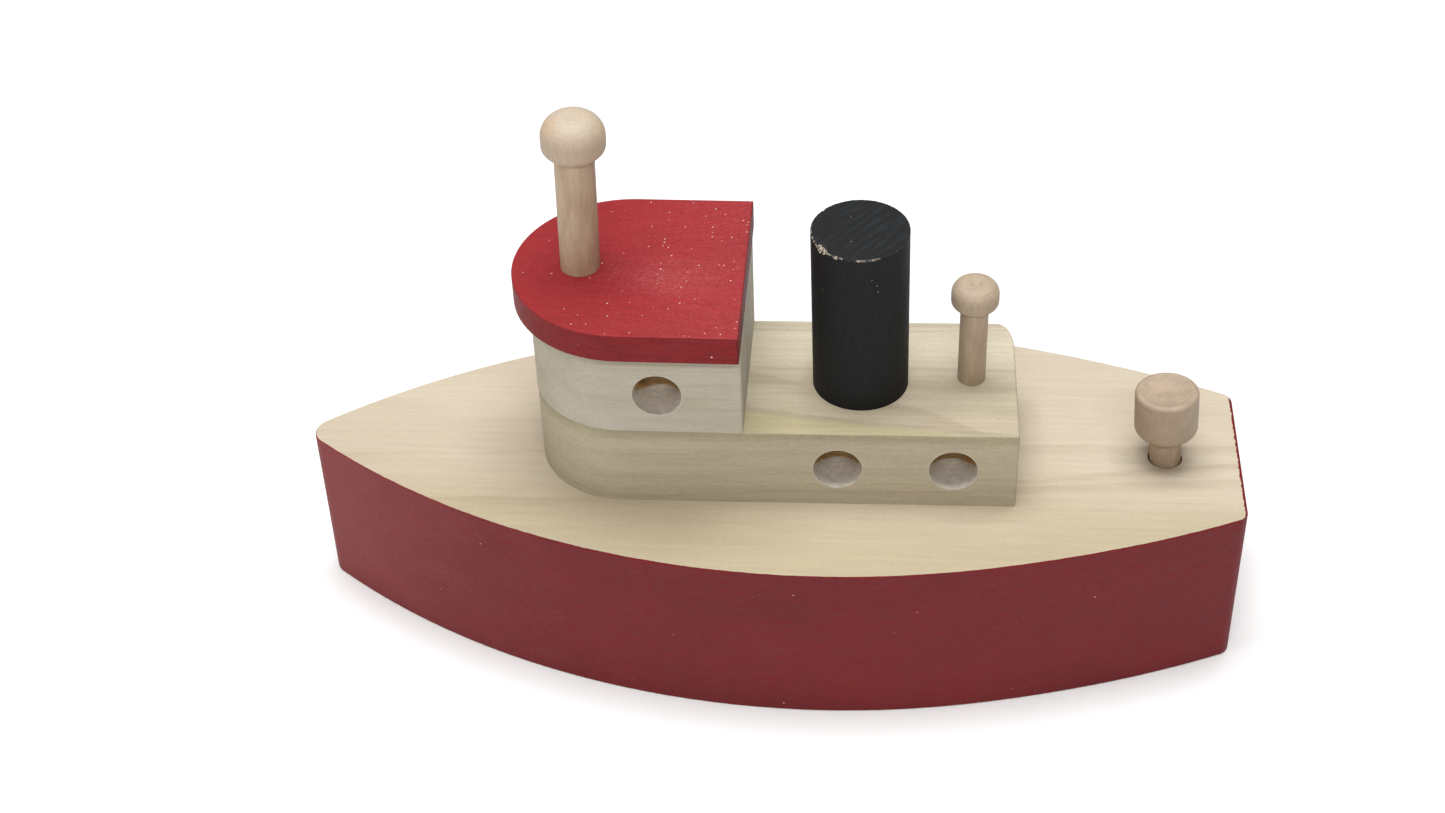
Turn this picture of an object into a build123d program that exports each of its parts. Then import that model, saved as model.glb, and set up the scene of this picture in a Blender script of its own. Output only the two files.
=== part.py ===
from build123d import *
import os
from math import cos, radians, sin, sqrt, tan

# Wooden toy tugboat, glued up from sawn blocks, a funnel cut from thick dowel and turned pegs.
# Millimetres. +X points to the bow, +Y to port, +Z up; the origin is the middle of the hull's underside.

# Hull: one plank with upright sides, widest a little aft of the middle
HULL_LENGTH = 191.0
HULL_HEIGHT = 37.7
HALF_BEAM = 39.5
BEAM_STATION = -9.8
QUARTER_STATION = -56.1
QUARTER_HALF_WIDTH = 33.0
TRANSOM_HALF_WIDTH = 19.0
TRANSOM_FLARE = 25.0
BOW_RADIUS = 4.2
TRANSOM_CORNER_RADIUS = 3.0
HULL_EDGE_EASE = 0.4

# Deckhouse: long block with a half-round front, glued on a degree out of line
DECKHOUSE_LENGTH = 96.3
DECKHOUSE_WIDTH = 36.1
DECKHOUSE_HEIGHT = 18.2
DECKHOUSE_REAR = -49.4
DECKHOUSE_SIDE_SHIFT = -0.5
DECKHOUSE_YAW = 0.97
DECKHOUSE_CORNER_ALONG = 3.2
DECKHOUSE_CORNER_ACROSS = 7.4

# Wheelhouse: shorter block of the same shape, its front level with the deckhouse's
WHEELHOUSE_LENGTH = 42.9
WHEELHOUSE_WIDTH = 36.8
WHEELHOUSE_HEIGHT = 20.5
WHEELHOUSE_REAR = 4.2
WHEELHOUSE_SIDE_SHIFT = 0.4

# Roof: thin board that overhangs the wheelhouse at the front and the sides
ROOF_LENGTH = 45.9
ROOF_WIDTH = 45.3
ROOF_THICKNESS = 6.2
ROOF_SIDE_SHIFT = 0.3

BLOCK_EDGE_EASE = 0.45
ROOF_EDGE_EASE = 0.25

# Portholes: blind flat-bottomed bores in both sides
PORTHOLE_RADIUS = 4.85
PORTHOLE_DEPTH = 8.0
DECKHOUSE_PORTHOLES = (12.6, 35.4)
DECKHOUSE_PORTHOLE_HEIGHT = 9.1
WHEELHOUSE_PORTHOLE = 16.5
WHEELHOUSE_PORTHOLE_HEIGHT = 9.1

# Funnel: dowel glued into a bored socket, not quite upright (leans are degrees to the bow and to port)
FUNNEL_X = -18.3
FUNNEL_Y = 1.3
FUNNEL_RADIUS = 9.525
FUNNEL_HEIGHT = 37.9
FUNNEL_SOCKET = 4.0
FUNNEL_LEAN = (0.6, 2.2)
FUNNEL_RIM_EASE = 0.35

# Fore mast: large turned peg, driven through the roof into the wheelhouse (rounds are under and on top)
MAST_X = 36.6
MAST_Y = 0.7
MAST_SHANK_RADIUS = 3.9
MAST_TENON = 19.0
MAST_HEAD_BASE = 26.6
MAST_HEAD_TOP = 34.7
MAST_HEAD_RADIUS = 6.2
MAST_HEAD_ROUNDS = (1.9, 4.4)
MAST_LEAN = (-1.2, 0.85)

# Aft post: small turned peg in the deckhouse
POST_X = -40.4
POST_Y = -0.5
POST_SHANK_RADIUS = 2.78
POST_TENON = 10.0
POST_HEAD_BASE = 19.2
POST_HEAD_TOP = 24.4
POST_HEAD_RADIUS = 4.7
POST_HEAD_ROUNDS = (1.1, 2.4)
POST_DIMPLE_RADIUS = 1.3
POST_DIMPLE_DEPTH = 0.35
POST_LEAN = (0.2, 2.7)

# Tow bollard: stout turned peg that stands clear of the after deck and turns in its hole
BOLLARD_X = -80.3
BOLLARD_Y = 1.4
BOLLARD_NECK_RADIUS = 3.2
BOLLARD_TENON = 14.0
BOLLARD_HEAD_BASE = 6.9
BOLLARD_HEAD_TOP = 17.4
BOLLARD_HEAD_RADIUS = 6.35
BOLLARD_HEAD_ROUNDS = (2.0, 0.9)
BOLLARD_DISH_RADIUS = 5.35
BOLLARD_DISH_DEPTH = 0.8
BOLLARD_LEAN = (3.5, -1.3)
BOLLARD_CLEARANCE = 0.09
BOLLARD_MOUTH = 0.2

# Hidden dowels: two under the deckhouse and two under the wheelhouse, all cut alike
DOWEL_RADIUS = 3.175
DOWEL_LENGTH = 18.0
DOWEL_END_CHAMFER = 0.6
DECKHOUSE_DOWELS = (-30.0, 36.0)
WHEELHOUSE_DOWELS = (11.0, 23.0)

PEG_END_CHAMFER = 0.7

deckhouse_base = HULL_HEIGHT
deckhouse_top = deckhouse_base + DECKHOUSE_HEIGHT
wheelhouse_top = deckhouse_top + WHEELHOUSE_HEIGHT
roof_top = wheelhouse_top + ROOF_THICKNESS
bow = HULL_LENGTH / 2
transom = -HULL_LENGTH / 2

# The side forward of the widest station is one arc that runs tangent into the bow's rounding.
nose_reach = bow - BOW_RADIUS - BEAM_STATION
bow_side_radius = (nose_reach**2 + HALF_BEAM**2 - BOW_RADIUS**2) / (2 * (HALF_BEAM - BOW_RADIUS))
unrounded_bow = BEAM_STATION + sqrt(HALF_BEAM * (2 * bow_side_radius - HALF_BEAM))


def leaning_plane(x, y, z, lean):
    """Plane across a peg at its deck, with the peg's slightly leaning axis as its normal."""
    to_bow, to_port = (tan(radians(angle)) for angle in lean)
    return Plane(origin=(x, y, z), x_dir=(1, 0, -to_bow), z_dir=(to_bow, to_port, 1))


funnel_plane = leaning_plane(FUNNEL_X, FUNNEL_Y, deckhouse_top, FUNNEL_LEAN)
mast_plane = leaning_plane(MAST_X, MAST_Y, roof_top, MAST_LEAN)
post_plane = leaning_plane(POST_X, POST_Y, deckhouse_top, POST_LEAN)
bollard_plane = leaning_plane(BOLLARD_X, BOLLARD_Y, HULL_HEIGHT, BOLLARD_LEAN)
deckhouse_plane = Plane(
    origin=(DECKHOUSE_REAR, DECKHOUSE_SIDE_SHIFT, deckhouse_base),
    x_dir=(cos(radians(DECKHOUSE_YAW)), sin(radians(DECKHOUSE_YAW)), 0),
    z_dir=(0, 0, 1),
)
wheelhouse_plane = Plane(origin=(WHEELHOUSE_REAR, WHEELHOUSE_SIDE_SHIFT, deckhouse_top))
roof_plane = Plane(origin=(WHEELHOUSE_REAR, ROOF_SIDE_SHIFT, wheelhouse_top))
deckhouse_dowel_middles = [(x, 0, deckhouse_base) for x in DECKHOUSE_DOWELS]
wheelhouse_dowel_middles = [(x, 0, deckhouse_top) for x in WHEELHOUSE_DOWELS]


def side_planes(block_plane, width, along, height):
    """Planes on the port and starboard faces of a block, each centred on a porthole."""
    middle = block_plane.origin + block_plane.x_dir * along + block_plane.z_dir * height
    port = block_plane.y_dir
    return [
        Plane(origin=middle + port * side * width / 2, x_dir=block_plane.x_dir, z_dir=port * side)
        for side in (1, -1)
    ]


def peg_outline(deck_plane, shank_radius, tenon, head_radius, head_base, head_top, head_rounds):
    """Half outline of a turned peg, on a plane through its axis; heights count from the deck it stands on."""
    with BuildSketch(Plane(deck_plane.origin, deck_plane.x_dir, -deck_plane.y_dir)) as outline:
        with BuildLine():
            FilletPolyline(
                (shank_radius, head_base),
                (head_radius, head_base),
                (head_radius, head_top),
                (0, head_top),
                radius=head_rounds,
            )
            Polyline(
                (0, head_top),
                (0, -tenon),
                (shank_radius - PEG_END_CHAMFER, -tenon),
                (shank_radius, PEG_END_CHAMFER - tenon),
                (shank_radius, head_base),
            )
        make_face()
    return outline.sketch


def dish(plane, height, radius, depth):
    """Hollow the top of a peg head with a shallow spherical cut of the given rim radius and depth."""
    ball_radius = (radius**2 + depth**2) / (2 * depth)
    with Locations(plane.offset(height - depth + ball_radius)):
        Sphere(ball_radius, mode=Mode.SUBTRACT)


with BuildPart() as hull:
    with BuildSketch() as deck_outline:
        with BuildLine():
            Spline(
                (transom, TRANSOM_HALF_WIDTH),
                (QUARTER_STATION, QUARTER_HALF_WIDTH),
                (BEAM_STATION, HALF_BEAM),
                tangents=[(cos(radians(TRANSOM_FLARE)), sin(radians(TRANSOM_FLARE))), (1, 0)],
            )
            TangentArc((BEAM_STATION, HALF_BEAM), (unrounded_bow, 0), tangent=(1, 0))
            mirror(about=Plane.XZ)
            Line((transom, TRANSOM_HALF_WIDTH), (transom, -TRANSOM_HALF_WIDTH))
        make_face()
        fillet(deck_outline.vertices().sort_by(Axis.X)[-1], radius=BOW_RADIUS)
        fillet(deck_outline.vertices().sort_by(Axis.X)[:2], radius=TRANSOM_CORNER_RADIUS)
    extrude(amount=HULL_HEIGHT)
    rims = hull.faces().filter_by(GeomType.PLANE).filter_by(Axis.Z).edges()
    fillet(rims, radius=HULL_EDGE_EASE)
    with Locations(bollard_plane):
        Hole(BOLLARD_NECK_RADIUS + BOLLARD_CLEARANCE, BOLLARD_TENON)
    mouth = hull.faces().sort_by(Axis.Z)[-1].inner_wires()[0].edges()
    chamfer(mouth, length=BOLLARD_MOUTH)
    with Locations(*deckhouse_dowel_middles):
        Hole(DOWEL_RADIUS, DOWEL_LENGTH / 2)

with BuildPart() as deckhouse:
    with BuildSketch(deckhouse_plane):
        with BuildLine():
            side = DECKHOUSE_WIDTH / 2
            nose = DECKHOUSE_LENGTH - side
            corner_y = DECKHOUSE_CORNER_ACROSS - side
            Polyline((0, corner_y), (0, side), (nose, side))
            ThreePointArc((nose, side), (DECKHOUSE_LENGTH, 0), (nose, -side))
            Line((nose, -side), (DECKHOUSE_CORNER_ALONG, -side))
            EllipticalCenterArc(
                (DECKHOUSE_CORNER_ALONG, corner_y),
                DECKHOUSE_CORNER_ALONG,
                DECKHOUSE_CORNER_ACROSS,
                start_angle=180,
                arc_size=90,
            )
        make_face()
    extrude(amount=DECKHOUSE_HEIGHT)
    port_corner = deckhouse.edges().filter_by(Axis.Z).group_by(Axis.X)[0].sort_by(Axis.Y)[-1]
    fillet(port_corner, radius=BLOCK_EDGE_EASE)
    fillet(deckhouse.faces().sort_by(Axis.Z)[-1].edges(), radius=BLOCK_EDGE_EASE)
    for station in DECKHOUSE_PORTHOLES:
        with Locations(*side_planes(deckhouse_plane, DECKHOUSE_WIDTH, station, DECKHOUSE_PORTHOLE_HEIGHT)):
            Hole(PORTHOLE_RADIUS, PORTHOLE_DEPTH)
    with Locations(funnel_plane):
        Hole(FUNNEL_RADIUS, FUNNEL_SOCKET)
    with Locations(post_plane):
        Hole(POST_SHANK_RADIUS, POST_TENON)
    with Locations(*deckhouse_dowel_middles, *wheelhouse_dowel_middles):
        Hole(DOWEL_RADIUS, DOWEL_LENGTH / 2)

with BuildPart() as wheelhouse:
    with BuildSketch(wheelhouse_plane):
        with BuildLine():
            side = WHEELHOUSE_WIDTH / 2
            nose = WHEELHOUSE_LENGTH - side
            Polyline((nose, side), (0, side), (0, -side), (nose, -side))
            ThreePointArc((nose, -side), (WHEELHOUSE_LENGTH, 0), (nose, side))
        make_face()
    extrude(amount=WHEELHOUSE_HEIGHT)
    fillet(wheelhouse.edges().filter_by(Axis.Z).group_by(Axis.X)[0], radius=BLOCK_EDGE_EASE)
    portholes = side_planes(
        wheelhouse_plane, WHEELHOUSE_WIDTH, WHEELHOUSE_PORTHOLE, WHEELHOUSE_PORTHOLE_HEIGHT
    )
    with Locations(*portholes):
        Hole(PORTHOLE_RADIUS, PORTHOLE_DEPTH)
    with Locations(mast_plane):
        Hole(MAST_SHANK_RADIUS, MAST_TENON)
    with Locations(*wheelhouse_dowel_middles):
        Hole(DOWEL_RADIUS, DOWEL_LENGTH / 2)

with BuildPart() as wheelhouse_roof:
    with BuildSketch(roof_plane):
        with BuildLine():
            side = ROOF_WIDTH / 2
            nose = ROOF_LENGTH - side
            Polyline((nose, side), (0, side), (0, -side), (nose, -side))
            ThreePointArc((nose, -side), (ROOF_LENGTH, 0), (nose, side))
        make_face()
    extrude(amount=ROOF_THICKNESS)
    fillet(wheelhouse_roof.edges().filter_by(Axis.Z).group_by(Axis.X)[0], radius=ROOF_EDGE_EASE)
    rims = wheelhouse_roof.faces().filter_by(GeomType.PLANE).filter_by(Axis.Z).edges()
    fillet(rims, radius=ROOF_EDGE_EASE)
    with Locations(mast_plane):
        Hole(MAST_SHANK_RADIUS, MAST_TENON)

with BuildPart() as funnel:
    with BuildSketch(funnel_plane.offset(-FUNNEL_SOCKET)):
        Circle(FUNNEL_RADIUS)
    extrude(amount=FUNNEL_SOCKET + FUNNEL_HEIGHT)
    fillet(funnel.edges().sort_by(Axis.Z)[-1], radius=FUNNEL_RIM_EASE)

with BuildPart() as fore_mast:
    mast_outline = peg_outline(
        mast_plane,
        MAST_SHANK_RADIUS,
        MAST_TENON,
        MAST_HEAD_RADIUS,
        MAST_HEAD_BASE,
        MAST_HEAD_TOP,
        MAST_HEAD_ROUNDS,
    )
    revolve(mast_outline, axis=Axis(mast_plane.origin, mast_plane.z_dir))

with BuildPart() as aft_post:
    post_outline = peg_outline(
        post_plane,
        POST_SHANK_RADIUS,
        POST_TENON,
        POST_HEAD_RADIUS,
        POST_HEAD_BASE,
        POST_HEAD_TOP,
        POST_HEAD_ROUNDS,
    )
    revolve(post_outline, axis=Axis(post_plane.origin, post_plane.z_dir))
    dish(post_plane, POST_HEAD_TOP, POST_DIMPLE_RADIUS, POST_DIMPLE_DEPTH)

with BuildPart() as tow_bollard:
    bollard_outline = peg_outline(
        bollard_plane,
        BOLLARD_NECK_RADIUS,
        BOLLARD_TENON,
        BOLLARD_HEAD_RADIUS,
        BOLLARD_HEAD_BASE,
        BOLLARD_HEAD_TOP,
        BOLLARD_HEAD_ROUNDS,
    )
    revolve(bollard_outline, axis=Axis(bollard_plane.origin, bollard_plane.z_dir))
    dish(bollard_plane, BOLLARD_HEAD_TOP, BOLLARD_DISH_RADIUS, BOLLARD_DISH_DEPTH)

with BuildPart() as deckhouse_dowels:
    for middle in deckhouse_dowel_middles:
        with BuildSketch(Plane(middle)):
            Circle(DOWEL_RADIUS)
        extrude(amount=DOWEL_LENGTH / 2, both=True)
    chamfer(deckhouse_dowels.edges().filter_by(GeomType.CIRCLE), length=DOWEL_END_CHAMFER)

with BuildPart() as wheelhouse_dowels:
    for middle in wheelhouse_dowel_middles:
        with BuildSketch(Plane(middle)):
            Circle(DOWEL_RADIUS)
        extrude(amount=DOWEL_LENGTH / 2, both=True)
    chamfer(wheelhouse_dowels.edges().filter_by(GeomType.CIRCLE), length=DOWEL_END_CHAMFER)

hull.part.label = "hull"
deckhouse.part.label = "deckhouse"
wheelhouse.part.label = "wheelhouse"
wheelhouse_roof.part.label = "wheelhouse_roof"
funnel.part.label = "funnel"
fore_mast.part.label = "fore_mast"
aft_post.part.label = "aft_post"
tow_bollard.part.label = "tow_bollard"
deckhouse_dowels.part.label = "deckhouse_dowels"
wheelhouse_dowels.part.label = "wheelhouse_dowels"

os.makedirs("parts", exist_ok=True)
export_step(hull.part, "parts/hull.step")
export_step(deckhouse.part, "parts/deckhouse.step")
export_step(wheelhouse.part, "parts/wheelhouse.step")
export_step(wheelhouse_roof.part, "parts/wheelhouse_roof.step")
export_step(funnel.part, "parts/funnel.step")
export_step(fore_mast.part, "parts/fore_mast.step")
export_step(aft_post.part, "parts/aft_post.step")
export_step(tow_bollard.part, "parts/tow_bollard.step")
export_step(deckhouse_dowels.part, "parts/deckhouse_dowels.step")
export_step(wheelhouse_dowels.part, "parts/wheelhouse_dowels.step")
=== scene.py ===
"""Wooden toy tugboat: glued-up poplar blocks, a black dowel funnel and turned birch pegs.

Metres, +X to the bow, +Y to port, +Z up. Patterns are drawn in millimetres, with the grain along X.
"""

import bmesh
import bpy
import math
import random
from mathutils import Matrix, Vector


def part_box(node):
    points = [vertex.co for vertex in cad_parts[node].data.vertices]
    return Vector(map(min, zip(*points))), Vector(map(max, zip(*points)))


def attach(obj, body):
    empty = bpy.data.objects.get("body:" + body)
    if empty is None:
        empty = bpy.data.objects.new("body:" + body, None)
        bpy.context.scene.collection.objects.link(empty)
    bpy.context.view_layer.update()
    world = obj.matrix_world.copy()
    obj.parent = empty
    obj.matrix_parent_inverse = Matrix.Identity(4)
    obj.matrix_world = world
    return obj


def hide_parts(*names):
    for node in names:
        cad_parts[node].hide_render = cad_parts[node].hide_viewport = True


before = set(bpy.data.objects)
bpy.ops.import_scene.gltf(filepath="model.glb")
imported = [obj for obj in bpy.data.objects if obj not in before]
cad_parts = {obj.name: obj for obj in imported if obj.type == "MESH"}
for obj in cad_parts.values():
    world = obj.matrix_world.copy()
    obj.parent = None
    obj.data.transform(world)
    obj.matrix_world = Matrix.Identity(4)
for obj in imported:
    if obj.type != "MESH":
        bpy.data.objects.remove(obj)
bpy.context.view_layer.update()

MM = 0.001
PER_MM = 1000.0  # object coordinates are metres, so times this they are millimetres
MIX_A, MIX_B, MIX_OUT = 6, 7, 2  # the colour sockets of a Mix node
COLOUR_MIX = {"data_type": "RGBA", "out": MIX_OUT}
PLAIN_A, PLAIN_B = 2, 3  # the plain number sockets of a Mix node
GRAIN_ALONG_X = (0.0, 0.0, 0.0)
GRAIN_UPRIGHT = (0.0, math.radians(90.0), 0.0)

# Where the blocks stand: rear end, side shift and foot in mm, and how far they are turned, in degrees
DECKHOUSE_PLACE = (-49.4, -0.5, 37.7)
DECKHOUSE_YAW = 0.97
WHEELHOUSE_PLACE = (4.2, 0.4, 55.9)
DECKHOUSE_HALF_WIDTH = 18.05
WHEELHOUSE_HALF_WIDTH = 18.4

# Portholes: how far ahead of the block's rear end and above its foot they are, and their radius, in mm
DECKHOUSE_PORTHOLES = (12.6, 35.4)
WHEELHOUSE_PORTHOLES = (16.5,)
PORTHOLE_HEIGHT = 9.1
PORTHOLE_REACH = 4.95
LIGHT_DROP = 1.05  # mm that the front light falls for each mm that it goes into a bore

# Lines that stand out in the wood: Y in mm where X is 0, slope towards the bow, width in mm, and strength
DECK_LINES = ((2.0, 0.05, 4.0, 0.5), (15.0, 0.12, 3.0, 0.45), (15.6, 0.07, 3.5, 0.55))
EDGE_SLOPE = -0.148
DECKHOUSE_LINES = ((18.1, EDGE_SLOPE, 2.6, 0.5), (20.0, -0.38, 6.0, 0.45))

# Middle of the dusty patch on the roof, in mm
DUST_PLACE = (17.0, 4.0, 82.6)

# Pegs and funnel: foot in mm, then lean to the bow and to port in degrees
FUNNEL_PLACE = (-18.3, 1.3, 55.9, 0.6, 2.2)
FUNNEL_RADIUS = 9.525
FUNNEL_HEIGHT = 37.9
FUNNEL_SUNK = 4.0
MAST_PLACE = (36.6, 0.7, 82.6, -1.2, 0.85)
POST_PLACE = (-40.4, -0.5, 55.9, 0.2, 2.7)
BOLLARD_PLACE = (-80.3, 1.4, 37.7, 3.5, -1.3)

# Where the funnel's mesh is cut below its top and inset from its rim, in mm, fine enough to chip
RIM_CUTS = (0.25, 0.5, 0.8, 1.1, 1.5, 2.0, 2.8, 4.0)
TOP_INSETS = (0.25, 0.25, 0.3, 0.4, 0.6, 0.9)
RIM_BAND = 2.0
BARE_FROM = 0.09  # wood shows where a chip is deeper than this

# Chips in the funnel's top rim: bearing in degrees from the bow to port, reach and depth in mm
FUNNEL_CHIPS = (
    (6.0, 0.5, 0.2),
    (14.0, 0.7, 0.3),
    (22.0, 0.5, 0.25),
    (31.0, 1.1, 0.45),
    (38.0, 1.5, 0.7),
    (45.0, 1.1, 0.5),
    (52.0, 0.6, 0.25),
    (61.0, 1.0, 0.4),
    (69.0, 0.8, 0.3),
    (78.0, 0.5, 0.2),
    (90.0, 0.6, 0.25),
    (107.0, 0.6, 0.3),
    (152.0, 0.4, 0.15),
    (-40.0, 0.5, 0.2),
)

# Turned pegs: node, material, foot and lean, the shank's darker and paler wood, the head's wood, the head's height
# above the foot in mm, and a seed
PEGS = (
    ("fore_mast", "birch, turned, mast", MAST_PLACE, "#b0957a", "#bda68a", "#b9aa97", 26.6, 1.0),
    ("aft_post", "birch, turned, post", POST_PLACE, "#a59077", "#b39e84", "#a89681", 19.2, 4.0),
    ("tow_bollard", "birch, turned, bollard", BOLLARD_PLACE, "#a28d75", "#b09b84", "#a08e79", 6.9, 7.0),
)
PIN_PLACE = (0.0, 0.0, 0.0, 0.0, 0.0)
NO_HEAD = 99.0

# Camera: place in metres, how it is turned, tipped down and rolled in degrees, lens and sensor in mm
CAMERA_PLACE = (-0.025485, 0.366479, 0.352759)
CAMERA_TURNED, CAMERA_DOWN, CAMERA_ROLLED = 5.5, 39.707, -2.036
CAMERA_LENS, CAMERA_SENSOR = 58.39, 36.0


def colour(hex_code):
    """An sRGB hex colour as linear numbers."""
    parts = [int(hex_code[i : i + 2], 16) / 255 for i in (1, 3, 5)]
    linear = [c / 12.92 if c <= 0.04045 else ((c + 0.055) / 1.055) ** 2.4 for c in parts]
    return (*linear, 1.0)


def amount(value):
    """A ramp stop that carries an amount, not a colour."""
    return (value, value, value, 1.0)


def node(tree, kind, *values, stops=None, out=0, **settings):
    """Adds one node and gives its output, or all of them where out is None.

    Each value goes to the next input, and a dict's values go to the inputs it names. A value is a number or a hex
    colour to set, or another node's output to link.
    """
    made = tree.nodes.new("ShaderNode" + kind)
    for name, setting in settings.items():
        setattr(made, name, setting)
    inputs = {}
    for number, value in enumerate(values):
        inputs.update(value if isinstance(value, dict) else {number: value})
    for socket, value in inputs.items():
        if isinstance(value, bpy.types.NodeSocket):
            tree.links.new(value, made.inputs[socket])
        else:
            made.inputs[socket].default_value = colour(value) if isinstance(value, str) else value
    if stops:
        ramp = made.color_ramp
        while len(ramp.elements) < len(stops):
            ramp.elements.new(1.0)
        for element, (place, shade) in zip(ramp.elements, stops):
            element.position = place
            element.color = shade
    return made.outputs if out is None else made.outputs[out]


def new_material(name):
    """An empty node material and its tree."""
    made = bpy.data.materials.new(name)
    made.use_nodes = True
    made.node_tree.nodes.clear()
    return made, made.node_tree


def close_material(tree, base, roughness, height, relief_mm, ior=1.5, **constants):
    """Ends a material: relief of the given depth, one Principled shader, and the output."""
    normal = node(tree, "Bump", {"Height": height, "Strength": 1.0, "Distance": relief_mm * MM})
    sockets = {"Base Color": base, "Roughness": roughness, "Normal": normal, "IOR": ior}
    sockets.update(constants)
    surface = node(tree, "BsdfPrincipled", sockets)
    node(tree, "OutputMaterial", surface, out=None)


# ---------------------------------------------------------------- figure of the wood


def millimetres(tree, place=(0.0, 0.0, 0.0), turned=(0.0, 0.0, 0.0), grain=GRAIN_ALONG_X):
    """Coordinates in millimetres in a piece's own frame, and the same turned so that X runs along its grain."""
    metres = node(tree, "TexCoord", out="Object")
    scaled = node(tree, "Mapping", {"Vector": metres, "Scale": (PER_MM,) * 3})
    frame_mm = {"Vector": scaled, "Location": place, "Rotation": turned}
    own = node(tree, "Mapping", frame_mm, vector_type="TEXTURE")
    return own, node(tree, "Mapping", {"Vector": own, "Rotation": grain})


def facing_up(tree):
    """1 on faces that look up, 0 on upright sides, soft over an eased edge."""
    normal = node(tree, "NewGeometry", out="Normal")
    return node(tree, "MapRange", node(tree, "SeparateXYZ", normal, out=None)["Z"], 0.35, 0.9)


def patches(tree, board, along_mm, across_mm, seed, detail=3.0):
    """Smooth random patches of about the given size, 0 to 1."""
    rate = (1 / along_mm, 1 / across_mm, 1 / across_mm)
    where = node(tree, "Mapping", {"Vector": board, "Location": (seed, seed, seed), "Scale": rate})
    return node(tree, "TexNoise", {"Vector": where, "Scale": 1.0, "Detail": detail, "Roughness": 0.55})


def growth_rings(tree, board, pith, ring_mm, wander_mm, seed):
    """Thin darker latewood lines, unevenly spaced round the tree's centre: 0 between them, 1 in a line."""
    slow = node(tree, "Mapping", {"Vector": board, "Location": (seed, 0.0, seed), "Scale": (0.011, 0.025, 0.025)})
    wander = node(tree, "TexNoise", {"Vector": slow, "Scale": 1.0, "Detail": 2.0}, out=1)
    drift = node(tree, "VectorMath", wander, (0.0, wander_mm, wander_mm), board, operation="MULTIPLY_ADD")
    across = node(tree, "VectorMath", drift, (0.0, *pith), operation="SUBTRACT")
    flat = node(tree, "VectorMath", across, (0.0, 1.0, 1.0), operation="MULTIPLY")
    radius = node(tree, "VectorMath", flat, operation="LENGTH", out=1)
    years = node(tree, "Math", radius, 1 / ring_mm, seed, operation="MULTIPLY_ADD")
    settings = {"W": years, "Scale": 1.0, "Detail": 4.0, "Roughness": 0.62}
    uneven = node(tree, "TexNoise", settings, noise_dimensions="1D")
    lines = [(0.44, amount(0.0)), (0.60, amount(0.35)), (0.66, amount(1.0)), (0.74, amount(0.25))]
    return node(tree, "ValToRGB", uneven, stops=lines)


def latewood_line(tree, board, y_at_zero, slope, width_mm, seed):
    """One long soft line of darker wood, along a board's face: sharp on one side, faded on the other."""
    axes = node(tree, "SeparateXYZ", board, out=None)
    straight = node(tree, "Math", axes["X"], -slope, axes["Y"], operation="MULTIPLY_ADD")
    wavy = patches(tree, board, 40.0, 60.0, seed, detail=1.0)
    bent = node(tree, "Math", wavy, width_mm * 1.5, straight, operation="MULTIPLY_ADD")
    away = node(tree, "Math", bent, y_at_zero + width_mm * 0.75, operation="SUBTRACT")
    sharp = node(tree, "MapRange", away, -0.25 * width_mm, 0.0, interpolation_type="SMOOTHSTEP")
    faded = node(tree, "MapRange", away, 0.0, width_mm, 1.0, 0.0, interpolation_type="SMOOTHSTEP")
    broken = node(tree, "MapRange", patches(tree, board, 30.0, 3.0, seed + 2.0), 0.35, 0.6, 0.35, 1.0)
    whole = node(tree, "Math", sharp, faded, operation="MULTIPLY")
    soft = node(tree, "Math", whole, broken, operation="MULTIPLY")
    return node(tree, "Math", soft, facing_up(tree), operation="MULTIPLY")


def poplar_look(tree, board, ground, line, pith, ring_mm, wander_mm, seed, line_strength, contrast, marked=()):
    """Planed and sanded poplar: colour, roughness and relief.

    ground is the wood between the latewood lines, line their colour, and marked the place, slope and width of any
    line that stands out.
    """
    rings = growth_rings(tree, board, pith, ring_mm, wander_mm, seed)
    lines = node(tree, "Math", rings, line_strength, operation="MULTIPLY")
    for number, (y_at_zero, slope, width_mm, strength) in enumerate(marked):
        shape = latewood_line(tree, board, y_at_zero, slope, width_mm, seed + number)
        stood_out = node(tree, "Math", shape, strength, operation="MULTIPLY")
        lines = node(tree, "Math", lines, stood_out, operation="MAXIMUM")
    ringed = node(tree, "Mix", {0: lines, MIX_A: ground, MIX_B: line}, **COLOUR_MIX)
    bands = patches(tree, board, 34.0, 1.1, seed + 11.0, detail=4.0)
    fine = patches(tree, board, 9.0, 0.34, seed + 23.0, detail=4.0)
    pores = patches(tree, board, 0.9, 0.26, seed + 31.0, detail=1.0)
    streaks = node(tree, "Math", bands, fine, operation="ADD")
    figure = node(tree, "Math", streaks, pores, operation="ADD")
    shade = node(tree, "MapRange", figure, 1.1, 1.9, 1.0 - contrast, 1.0 + 0.9 * contrast)
    streaked = node(tree, "VectorMath", ringed, shade, operation="MULTIPLY")
    roughness = node(tree, "MapRange", fine, 0.3, 0.7, 0.64, 0.8)
    return streaked, roughness, figure


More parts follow.
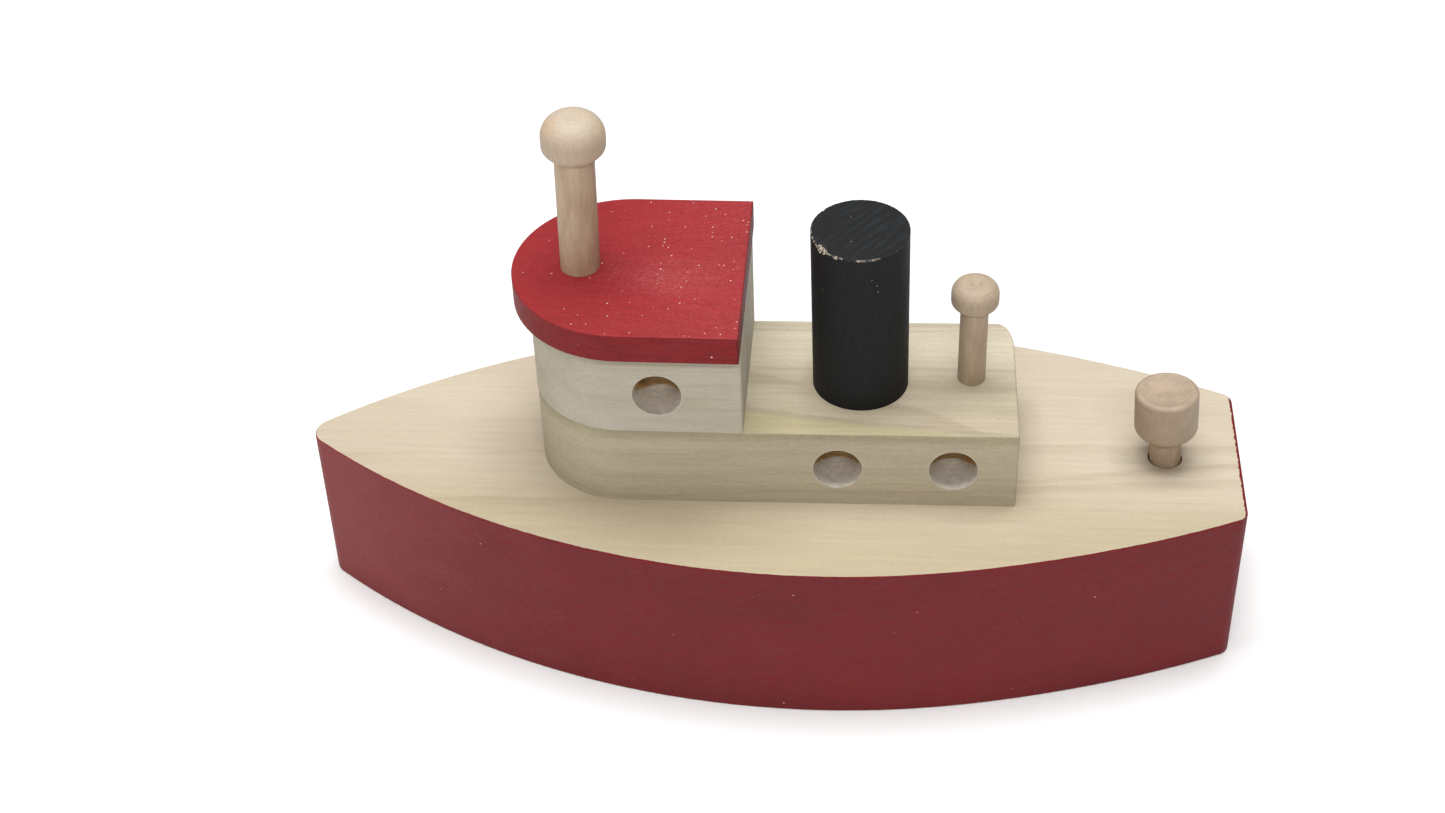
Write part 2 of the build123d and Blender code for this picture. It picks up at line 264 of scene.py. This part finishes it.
def specks(tree, board, spacing_mm, size, seed, share):
    """Tiny grains, at most one in each cell of about spacing_mm.

    size is a grain's reach in cells, and share, a number or a node's output, how many of the cells hold one.
    """
    where = node(tree, "Mapping", {"Vector": board, "Location": (seed, seed, 0.0), "Scale": (1 / spacing_mm,) * 3})
    cell = node(tree, "TexVoronoi", {"Vector": where, "Scale": 1.0}, out=None)
    parts = node(tree, "SeparateColor", cell["Color"], out=None)
    reach = node(tree, "MapRange", parts["Blue"], 0.0, 1.0, 0.5 * size, size)
    near = node(tree, "Math", cell["Distance"], reach, operation="LESS_THAN")
    chosen = node(tree, "Math", parts["Red"], share, operation="LESS_THAN")
    paler = node(tree, "MapRange", parts["Green"], 0.0, 1.0, 0.3, 1.0)
    strength = node(tree, "Math", chosen, paler, operation="MULTIPLY")
    return node(tree, "Math", near, strength, operation="MULTIPLY")


def red_look(tree, board, deep, bright, seed):
    """Thin water-based red wood paint: colour, roughness and relief, with the brushing and the grain under it."""
    cloud = patches(tree, board, 26.0, 16.0, seed)
    strokes = patches(tree, board, 7.0, 0.6, seed + 5.0)
    nap = patches(tree, board, 0.55, 0.38, seed + 9.0, detail=2.0)
    brushed = node(tree, "Math", cloud, strokes, operation="ADD")
    tone = node(tree, "Math", nap, 1.5, brushed, operation="MULTIPLY_ADD")
    brighter = node(tree, "MapRange", tone, 1.3, 2.2)
    film = node(tree, "Mix", {0: brighter, MIX_A: deep, MIX_B: bright}, **COLOUR_MIX)
    roughness = node(tree, "MapRange", strokes, 0.3, 0.7, 0.55, 0.72)
    return film, roughness, node(tree, "Math", strokes, nap, operation="ADD")


# ---------------------------------------------------------------- finishes


def painted_hull():
    """Poplar plank, planed on deck and brushed red round its sides: a pale deck, greener to port, in a red rim."""
    made, tree = new_material("poplar plank, sides brushed red")
    own, board = millimetres(tree)
    axes = node(tree, "SeparateXYZ", own, out=None)
    # Darker and greener towards port
    towards_port = node(tree, "Math", patches(tree, board, 70.0, 14.0, 7.0), 34.0, axes["Y"], operation="MULTIPLY_ADD")
    greener = node(tree, "MapRange", towards_port, 16.0, 46.0, interpolation_type="SMOOTHSTEP")
    ground = node(tree, "Mix", {0: greener, MIX_A: "#c2b5a1", MIX_B: "#b1a489"}, **COLOUR_MIX)
    wood, wood_rough, wood_height = poplar_look(
        tree, board, ground, "#a5937a", (-6.0, -95.0), 9.0, 11.0, 4.0, 0.25, 0.08, DECK_LINES
    )
    film, paint_rough, paint_height = red_look(tree, board, "#621015", "#771519", 2.0)
    grains = specks(tree, board, 2.2, 0.10, 5.0, 0.09)
    # Painted sheen: the red turns paler pink towards the bow
    forward = node(tree, "Math", patches(tree, board, 14.0, 8.0, 6.0), 40.0, axes["X"], operation="MULTIPLY_ADD")
    bow_sheen = node(tree, "MapRange", forward, 60.0, 110.0, 0.0, 0.22)
    film = node(tree, "Mix", {0: bow_sheen, MIX_A: film, MIX_B: "#a65a5a"}, **COLOUR_MIX)
    paint = node(tree, "Mix", {0: grains, MIX_A: film, MIX_B: "#b08a80"}, **COLOUR_MIX)
    lowest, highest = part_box("hull")
    ragged = patches(tree, board, 2.2, 1.0, 8.0)
    rim = node(tree, "Math", ragged, 0.12, axes["Z"], operation="MULTIPLY_ADD")
    below_deck = node(tree, "Math", rim, highest.z * PER_MM + 0.005, operation="LESS_THAN")
    stern = node(tree, "Math", ragged, 0.8, axes["X"], operation="MULTIPLY_ADD")
    over_transom = node(tree, "Math", stern, lowest.x * PER_MM + 1.0, operation="LESS_THAN")
    keel = node(tree, "Math", ragged, 0.5, axes["Z"], operation="MULTIPLY_ADD")
    above_keel = node(tree, "Math", keel, lowest.z * PER_MM + 0.45, operation="GREATER_THAN")
    brushed = node(tree, "Math", below_deck, over_transom, operation="MAXIMUM")
    covered = node(tree, "Math", brushed, above_keel, operation="MULTIPLY")
    base = node(tree, "Mix", {0: covered, MIX_A: wood, MIX_B: paint}, **COLOUR_MIX)
    rough = node(tree, "Mix", {0: covered, PLAIN_A: wood_rough, PLAIN_B: paint_rough}, data_type="FLOAT")
    height = node(tree, "Mix", {0: covered, PLAIN_A: wood_height, PLAIN_B: paint_height}, data_type="FLOAT")
    close_material(tree, base, rough, height, 0.03, **{"Specular IOR Level": 0.3})
    return made


def bored(tree, own, base, stations, half_width):
    """Tints the porthole bores a cloudy greyish pink, with a painted shade: a browner crescent under the upper rim.

    The crescent deepens the shade of the bore's rim, and its edge slants with the front light.
    """
    from_middle = node(tree, "Math", node(tree, "SeparateXYZ", own, out=None)["Y"], operation="ABSOLUTE")
    depth = node(tree, "Math", half_width, from_middle, operation="SUBTRACT")
    slant = node(tree, "CombineXYZ", {"Z": depth})
    rubbed = patches(tree, own, 0.7, 0.7, 3.0)
    clouded = node(tree, "MapRange", patches(tree, own, 1.6, 0.9, 5.0), 0.36, 0.66, 0.86, 1.1)
    for station in stations:
        away = node(tree, "VectorMath", own, (station, 0.0, PORTHOLE_HEIGHT), operation="SUBTRACT")
        flat = node(tree, "VectorMath", away, (1.0, 0.0, 1.0), operation="MULTIPLY")
        reach = node(tree, "VectorMath", flat, operation="LENGTH", out=1)
        inside = node(tree, "Math", reach, PORTHOLE_REACH, operation="LESS_THAN")
        shifted = node(tree, "VectorMath", slant, (0.0, 0.0, LIGHT_DROP), flat, operation="MULTIPLY_ADD")
        shade_reach = node(tree, "VectorMath", shifted, operation="LENGTH", out=1)
        uneven = node(tree, "Math", rubbed, 0.4, shade_reach, operation="MULTIPLY_ADD")
        unlit = node(tree, "MapRange", uneven, 4.7, 5.3, interpolation_type="SMOOTHSTEP")
        # Painted shade: browner deep in the bore, where the slanting front light does not reach
        browner = node(tree, "Math", node(tree, "MapRange", depth, 1.5, 5.0), unlit, operation="MULTIPLY")
        tone = node(tree, "Mix", {0: browner, MIX_A: "#cdc5b8", MIX_B: "#ba9766"}, **COLOUR_MIX)
        wave = node(tree, "Math", node(tree, "Math", reach, 5.2, operation="MULTIPLY"), operation="SINE")
        tool_rings = node(tree, "MapRange", wave, -1.0, 1.0, 0.95, 1.03)
        shade = node(tree, "Math", tool_rings, clouded, operation="MULTIPLY")
        floor = node(tree, "VectorMath", tone, shade, operation="MULTIPLY")
        base = node(tree, "Mix", {0: inside, MIX_A: base, MIX_B: floor}, **COLOUR_MIX)
    return base


def deckhouse_poplar():
    """Poplar block, sawn and sanded, bare: pale top with a tan line and a greener port edge, level streaks below."""
    made, tree = new_material("poplar block, sanded, lower")
    own, board = millimetres(tree, DECKHOUSE_PLACE, (0.0, 0.0, math.radians(DECKHOUSE_YAW)))
    axes = node(tree, "SeparateXYZ", own, out=None)
    # Darker towards port
    towards_port = node(tree, "Math", patches(tree, board, 45.0, 9.0, 5.0), 16.0, axes["Y"], operation="MULTIPLY_ADD")
    darker = node(tree, "MapRange", towards_port, -6.0, 22.0, interpolation_type="SMOOTHSTEP")
    top = node(tree, "Mix", {0: darker, MIX_A: "#c3b9a2", MIX_B: "#b2a68e"}, **COLOUR_MIX)
    edge = node(tree, "Math", axes["X"], -EDGE_SLOPE, axes["Y"], operation="MULTIPLY_ADD")
    greenish = node(tree, "MapRange", edge, 18.3, 20.5, 0.0, 0.6, interpolation_type="SMOOTHSTEP")
    top = node(tree, "Mix", {0: greenish, MIX_A: top, MIX_B: "#aba276"}, **COLOUR_MIX)
    # A darker olive band along the top of the sides: partly the wood's olive tone, partly painted shade under the top
    # edge
    near_top = node(tree, "Math", patches(tree, board, 20.0, 2.0, 6.0), 1.5, axes["Z"], operation="MULTIPLY_ADD")
    olive_band_shade = node(tree, "MapRange", near_top, 15.4, 18.4, 0.0, 0.55, interpolation_type="SMOOTHSTEP")
    side = node(tree, "Mix", {0: olive_band_shade, MIX_A: "#b4a991", MIX_B: "#948a66"}, **COLOUR_MIX)
    ground = node(tree, "Mix", {0: facing_up(tree), MIX_A: side, MIX_B: top}, **COLOUR_MIX)
    wood, rough, height = poplar_look(
        tree, board, ground, "#93826a", (20.0, -18.0), 5.0, 7.0, 5.0, 0.35, 0.14, DECKHOUSE_LINES
    )
    base = bored(tree, own, wood, DECKHOUSE_PORTHOLES, DECKHOUSE_HALF_WIDTH)
    close_material(tree, base, rough, height, 0.04)
    return made


def wheelhouse_poplar():
    """Poplar block, sawn and sanded, bare: the palest block, with faint level streaks round its nose."""
    made, tree = new_material("poplar block, sanded, upper")
    own, board = millimetres(tree, WHEELHOUSE_PLACE)
    greener = node(tree, "MapRange", patches(tree, board, 40.0, 6.0, 9.0), 0.4, 0.65)
    ground = node(tree, "Mix", {0: greener, MIX_A: "#b9b1a1", MIX_B: "#b0a893"}, **COLOUR_MIX)
    wood, rough, height = poplar_look(tree, board, ground, "#a59b85", (0.0, -400.0), 4.0, 3.0, 9.0, 0.3, 0.11)
    base = bored(tree, own, wood, WHEELHOUSE_PORTHOLES, WHEELHOUSE_HALF_WIDTH)
    close_material(tree, base, rough, height, 0.04)
    return made


def painted_roof():
    """Poplar board brushed bright red: chalky, dusted with pale grains, darker on its sawn sides, partly soaked-in
    paint and partly painted shade.
    """
    made, tree = new_material("poplar board, brushed red")
    own, board = millimetres(tree)
    axes = node(tree, "SeparateXYZ", own, out=None)
    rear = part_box("wheelhouse_roof")[0].x * PER_MM
    film, rough, height = red_look(tree, board, "#7f1318", "#971d23", 6.0)
    # Darker red on the upright sides: partly painted shade, partly paint soaked into the sawn grain
    sides, _, side_height = red_look(tree, board, "#680a10", "#860f15", 8.0)
    film = node(tree, "Mix", {0: facing_up(tree), MIX_A: sides, MIX_B: film}, **COLOUR_MIX)
    scuffed = node(tree, "VectorMath", own, DUST_PLACE, operation="SUBTRACT")
    spread = node(tree, "VectorMath", scuffed, (0.9, 1.3, 1.0), operation="MULTIPLY")
    reach = node(tree, "VectorMath", spread, operation="LENGTH", out=1)
    around = node(tree, "Math", patches(tree, board, 6.0, 4.0, 3.0), 14.0, reach, operation="MULTIPLY_ADD")
    cloud = node(tree, "MapRange", around, 8.0, 24.0, 0.95, 0.0)
    lying = node(tree, "MapRange", axes["X"], rear + 4.0, rear + 28.0, 0.5, 0.18)
    lying = node(tree, "Math", lying, facing_up(tree), operation="MULTIPLY")
    cloud = node(tree, "Math", cloud, lying, operation="MAXIMUM")
    powder = node(tree, "MapRange", patches(tree, board, 0.6, 0.4, 4.0), 0.35, 0.7, 0.1, 0.5)
    chalk = node(tree, "Math", cloud, powder, operation="MULTIPLY")
    behind = node(tree, "Math", patches(tree, board, 0.8, 0.6, 3.0), 0.7, axes["X"], operation="MULTIPLY_ADD")
    torn = node(tree, "MapRange", behind, rear + 0.85, rear + 0.55, 0.0, 0.6)
    film = node(tree, "Mix", {0: torn, MIX_A: film, MIX_B: "#56090e"}, **COLOUR_MIX)
    chalky = node(tree, "Mix", {0: chalk, MIX_A: film, MIX_B: "#b5605f"}, **COLOUR_MIX)
    share = node(tree, "MapRange", cloud, 0.1, 0.95, 0.05, 0.45)
    small = specks(tree, board, 0.95, 0.155, 6.0, share)
    large = specks(tree, board, 2.3, 0.09, 2.0, 0.12)
    grains = node(tree, "Math", small, large, operation="MAXIMUM")
    dusty = node(tree, "Mix", {0: grains, MIX_A: chalky, MIX_B: "#e2c0b6"}, **COLOUR_MIX)
    relief = node(tree, "Math", height, side_height, operation="ADD")
    close_material(tree, dusty, rough, relief, 0.05, **{"Specular IOR Level": 0.3})
    return made


def black_dowel():
    """Hardwood dowel brushed matt black: a faint nap, grains of pale dust, and a worn thread of grey along the rim."""
    made, tree = new_material("dowel, brushed matt black")
    own, board = peg_millimetres(tree, FUNNEL_PLACE)
    axes = node(tree, "SeparateXYZ", own, out=None)
    streaks = patches(tree, board, 6.0, 0.5, 3.0)
    nap = patches(tree, board, 0.9, 0.4, 6.0, detail=2.0)
    relief = node(tree, "Math", streaks, nap, operation="ADD")
    greyer = node(tree, "MapRange", relief, 0.7, 1.3)
    film = node(tree, "Mix", {0: greyer, MIX_A: "#090a0b", MIX_B: "#17181a"}, **COLOUR_MIX)
    top = facing_up(tree)
    askew = node(tree, "Mapping", {"Vector": own, "Rotation": (0.0, 0.0, math.radians(-50.0))})
    swept = node(tree, "MapRange", patches(tree, askew, 6.0, 1.0, 2.0), 0.48, 0.7, 0.0, 0.35)
    brushed = node(tree, "Math", swept, top, operation="MULTIPLY")
    film = node(tree, "Mix", {0: brushed, MIX_A: film, MIX_B: "#2e363b"}, **COLOUR_MIX)
    grains = specks(tree, board, 1.5, 0.12, 9.0, node(tree, "MapRange", top, 0.0, 1.0, 0.10, 0.2))
    level = node(tree, "VectorMath", own, (1.0, 1.0, 0.0), operation="MULTIPLY")
    radius = node(tree, "VectorMath", level, operation="LENGTH", out=1)
    outer = node(tree, "MapRange", radius, FUNNEL_RADIUS - 0.4, FUNNEL_RADIUS - 0.15)
    upper = node(tree, "MapRange", axes["Z"], FUNNEL_HEIGHT - 0.35, FUNNEL_HEIGHT - 0.1)
    bearing = node(tree, "Math", axes["Y"], axes["X"], operation="ARCTAN2")
    off_worn_side = node(tree, "Math", node(tree, "Math", bearing, 0.95, operation="SUBTRACT"), operation="ABSOLUTE")
    forward = node(tree, "MapRange", off_worn_side, 0.8, 1.2, 1.0, 0.0)
    rubbed = node(tree, "MapRange", patches(tree, board, 1.4, 1.4, 5.0, detail=5.0), 0.5, 0.56)
    rim = node(tree, "Math", outer, upper, operation="MULTIPLY")
    worn = node(tree, "Math", rim, node(tree, "Math", forward, rubbed, operation="MULTIPLY"), operation="MULTIPLY")
    greyed = node(tree, "Math", grains, node(tree, "Math", worn, 0.7, operation="MULTIPLY"), operation="MAXIMUM")
    dusty = node(tree, "Mix", {0: greyed, MIX_A: film, MIX_B: "#9c958a"}, **COLOUR_MIX)
    rough = node(tree, "MapRange", streaks, 0.3, 0.7, 0.66, 0.84)
    close_material(tree, dusty, rough, relief, 0.05, **{"Specular IOR Level": 0.3})
    return made


def broken_dowel():
    """Bare broken dowel where the black has chipped off: pale splintery wood, smudged with black."""
    made, tree = new_material("dowel, bare where chipped")
    _, board = peg_millimetres(tree, FUNNEL_PLACE)
    splinters = patches(tree, board, 0.9, 0.35, 4.0)
    smudged = [(0.38, colour("#24211f")), (0.48, colour("#84786a")), (0.62, colour("#c9bba6"))]
    base = node(tree, "ValToRGB", {"Fac": splinters}, stops=smudged)
    rough = node(tree, "MapRange", splinters, 0.3, 0.7, 0.9, 0.7)
    close_material(tree, base, rough, splinters, 0.15)
    return made


def peg_millimetres(tree, place, grain=GRAIN_UPRIGHT):
    """Millimetres from a leaning peg's foot, with Z up its middle."""
    turned = leaning(*place).to_euler()
    return millimetres(tree, place[:3], tuple(turned), grain)


def turned_birch(name, place, deep, pale, crown, head_from, seed):
    """Birch, turned on a lathe and left bare: short upright pores, soft mottle, a paler head with faint tool rings."""
    made, tree = new_material(name)
    own, board = peg_millimetres(tree, place)
    mottle = node(tree, "MapRange", patches(tree, board, 9.0, 2.2, seed), 0.36, 0.64)
    shank = node(tree, "Mix", {0: mottle, MIX_A: deep, MIX_B: pale}, **COLOUR_MIX)
    blotches = node(tree, "MapRange", patches(tree, own, 5.0, 3.5, seed + 6.0, detail=2.0), 0.42, 0.62, 0.0, 0.75)
    knob = node(tree, "Mix", {0: blotches, MIX_A: crown, MIX_B: pale}, **COLOUR_MIX)
    top = facing_up(tree)
    # Painted shade: the head's sides are darker than its top
    shaded_head_sides = node(tree, "MapRange", top, 0.0, 1.0, 0.45, 0.0)
    knob = node(tree, "Mix", {0: shaded_head_sides, MIX_A: knob, MIX_B: deep}, **COLOUR_MIX)
    axes = node(tree, "SeparateXYZ", own, out=None)
    head = node(tree, "MapRange", axes["Z"], head_from - 0.1, head_from + 0.3)
    ground = node(tree, "Mix", {0: head, MIX_A: shank, MIX_B: knob}, **COLOUR_MIX)
    level = node(tree, "VectorMath", own, (1.0, 1.0, 0.0), operation="MULTIPLY")
    radius = node(tree, "VectorMath", level, operation="LENGTH", out=1)
    rings = node(tree, "Math", node(tree, "Math", radius, 6.3, operation="MULTIPLY"), operation="SINE")
    tool_rings = node(tree, "Math", top, rings, operation="MULTIPLY")
    fibre = patches(tree, board, 7.0, 0.55, seed + 1.0, detail=4.0)
    pores = patches(tree, board, 1.8, 0.27, seed + 2.0, detail=1.0)
    figure = node(tree, "Math", fibre, pores, operation="ADD")
    streaked = node(tree, "MapRange", figure, 0.7, 1.3, 0.90, 1.08)
    shade = node(tree, "Math", tool_rings, 0.02, streaked, operation="MULTIPLY_ADD")
    base = node(tree, "VectorMath", ground, shade, operation="MULTIPLY")
    rough = node(tree, "MapRange", fibre, 0.3, 0.7, 0.5, 0.66)
    close_material(tree, base, rough, figure, 0.02)
    return made


# ---------------------------------------------------------------- the worn funnel


def leaning(x, y, z, lean_to_bow, lean_to_port):
    """Place and tilt of a peg that stands at x, y, z in mm and leans by two small angles in degrees."""
    axis = Vector((math.tan(math.radians(lean_to_bow)), math.tan(math.radians(lean_to_port)), 1.0)).normalized()
    bow = Vector((axis.z, 0.0, -axis.x)).normalized()
    port = axis.cross(bow)
    return Matrix.Translation(Vector((x, y, z)) * MM) @ Matrix((bow, port, axis)).transposed().to_4x4()


def edit(piece):
    """Opens one piece for edge and face work, with nothing selected."""
    bpy.ops.object.select_all(action="DESELECT")
    piece.select_set(True)
    bpy.context.view_layer.objects.active = piece
    bpy.ops.object.mode_set(mode="EDIT")
    bpy.ops.mesh.select_all(action="DESELECT")


def pick(piece, parts, wanted):
    """Selects just the vertices, edges or faces that wanted says."""
    bpy.ops.mesh.select_all(action="DESELECT")
    mesh = bmesh.from_edit_mesh(piece.data)
    bpy.ops.mesh.select_mode(type={"verts": "VERT", "edges": "EDGE", "faces": "FACE"}[parts])
    for part in getattr(mesh, parts):
        if wanted(part):
            part.select_set(True)
    bmesh.update_edit_mesh(piece.data)


def settle(piece, place, body):
    """Puts the finished mesh where it belongs, with its object at the origin, and lets it ride on a body."""
    bpy.ops.object.mode_set(mode="OBJECT")
    piece.data.transform(place @ Matrix.Scale(MM, 4))
    piece.data.update()
    bpy.ops.object.shade_smooth_by_angle(angle=math.radians(35.0))
    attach(piece, body)


def add_funnel():
    """A thick dowel with a worn top rim: paint and wood are chipped off towards the bow and port."""
    radius, height = FUNNEL_RADIUS, FUNNEL_HEIGHT
    bpy.ops.mesh.primitive_cylinder_add(
        vertices=240, radius=radius, depth=height + FUNNEL_SUNK, location=(0.0, 0.0, (height - FUNNEL_SUNK) / 2)
    )
    funnel = bpy.context.object
    funnel.name = "worn_funnel"
    bpy.ops.object.transform_apply(location=True)
    edit(funnel)
    for below in RIM_CUTS:
        bpy.ops.mesh.select_all(action="SELECT")
        bpy.ops.mesh.bisect(plane_co=(0.0, 0.0, height - below), plane_no=(0.0, 0.0, 1.0))
    pick(funnel, "faces", lambda face: face.normal.z > 0.9)
    for width in TOP_INSETS:
        bpy.ops.mesh.inset(thickness=width)
    bpy.ops.mesh.poke()
    random.seed(11)
    for bearing, reach, bite in FUNNEL_CHIPS:
        angle = math.radians(bearing)
        rim = Vector((radius * math.cos(angle), radius * math.sin(angle), height))
        pick(funnel, "verts", lambda vert: (vert.co - rim).length < 0.14 and not vert.select)
        inward = Vector((-math.cos(angle), -math.sin(angle), -0.9)) * bite
        bpy.ops.transform.translate(
            value=inward, use_proportional_edit=True, proportional_edit_falloff="SHARP", proportional_size=reach
        )
    pick(funnel, "verts", lambda vert: vert.co.z > height - 1.3 and vert.co.xy.length > radius - 0.9)
    bpy.ops.transform.vertex_random(offset=0.045, seed=4)
    funnel.data.materials.append(black_dowel())
    funnel.data.materials.append(broken_dowel())
    mesh = bmesh.from_edit_mesh(funnel.data)
    for face in mesh.faces:
        middle = face.calc_center_median()
        near_rim = middle.z > height - RIM_BAND and middle.xy.length > radius - RIM_BAND
        chipped = radius - middle.xy.length > BARE_FROM and height - middle.z > BARE_FROM
        if near_rim and chipped and random.random() < 0.93:
            face.material_index = 1
    bmesh.update_edit_mesh(funnel.data)
    settle(funnel, leaning(*FUNNEL_PLACE), "boat")
    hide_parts("funnel")


def set_finish(name, finish):
    """Gives a CAD node a better material in its own slot."""
    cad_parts[name].material_slots[0].material = finish


# ---------------------------------------------------------------- camera, floor and lights


def add_camera():
    """A longish lens, looking down at the port side."""
    turned, down, rolled = (math.radians(angle) for angle in (CAMERA_TURNED, CAMERA_DOWN, CAMERA_ROLLED))
    ahead = Vector((math.sin(turned) * math.cos(down), -math.cos(turned) * math.cos(down), -math.sin(down)))
    level = Vector((-math.cos(turned), -math.sin(turned), 0.0))
    upright = level.cross(ahead)
    right = math.cos(rolled) * level + math.sin(rolled) * upright
    up = -math.sin(rolled) * level + math.cos(rolled) * upright
    lens = bpy.data.cameras.new("camera")
    lens.lens = CAMERA_LENS
    lens.sensor_width = CAMERA_SENSOR
    lens.clip_start = 0.01
    lens.clip_end = 20.0
    camera = bpy.data.objects.new("camera", lens)
    facing = Matrix((right, up, -ahead)).transposed().to_4x4()
    camera.matrix_world = Matrix.Translation(CAMERA_PLACE) @ facing
    bpy.context.scene.collection.objects.link(camera)
    bpy.context.scene.camera = camera


def add_floor():
    """A plain white tabletop, far wider than the view."""
    bpy.ops.mesh.primitive_plane_add(size=12.0, location=(0.0, 0.0, 0.0))
    floor = bpy.context.object
    floor.name = "floor"
    made, tree = new_material("matt white card")
    surface = node(tree, "BsdfPrincipled", {"Base Color": (0.9, 0.9, 0.9, 1.0), "Roughness": 0.9})
    node(tree, "OutputMaterial", surface, out=None)
    floor.data.materials.append(made)


def add_area_light(name, size, power, place, target=(0.0, 0.0, 0.03)):
    """A white rectangular light at place, facing target. Size is width and height in metres."""
    lamp = bpy.data.lights.new(name, "AREA")
    lamp.shape = "RECTANGLE"
    lamp.size, lamp.size_y = size
    lamp.energy = power
    light = bpy.data.objects.new(name, lamp)
    light.location = place
    light.rotation_mode = "QUATERNION"
    light.rotation_quaternion = (Vector(target) - Vector(place)).to_track_quat("-Z", "Y")
    bpy.context.scene.collection.objects.link(light)


def add_lights():
    """A broad light overhead, a low strip in front, a soft one off the bow, and a little light from everywhere."""
    add_area_light("overhead", (1.1, 0.9), 26.0, (0.0, -0.1, 1.5))
    add_area_light("front_strip", (0.9, 0.09), 7.5, (-0.06, 0.95, 1.03))
    add_area_light("bow_side", (0.6, 0.6), 1.6, (1.0, 0.35, 0.4))
    world = bpy.data.worlds.new("room")
    world.use_nodes = True
    background = world.node_tree.nodes["Background"].inputs
    background["Color"].default_value = (1.0, 1.0, 1.0, 1.0)
    background["Strength"].default_value = 0.12
    bpy.context.scene.world = world
    bpy.context.scene.view_settings.view_transform = "Standard"


# ---------------------------------------------------------------- the boat

bpy.ops.object.select_all(action="DESELECT")
add_camera()
add_floor()
add_lights()

set_finish("hull", painted_hull())
set_finish("deckhouse", deckhouse_poplar())
set_finish("wheelhouse", wheelhouse_poplar())
set_finish("wheelhouse_roof", painted_roof())
add_funnel()
for name, *finish in PEGS:
    set_finish(name, turned_birch(*finish))
hidden_birch = turned_birch("birch dowel pins", PIN_PLACE, "#a68d73", "#b59d84", "#c4af97", NO_HEAD, 12.0)
set_finish("deckhouse_dowels", hidden_birch)
set_finish("wheelhouse_dowels", hidden_birch)
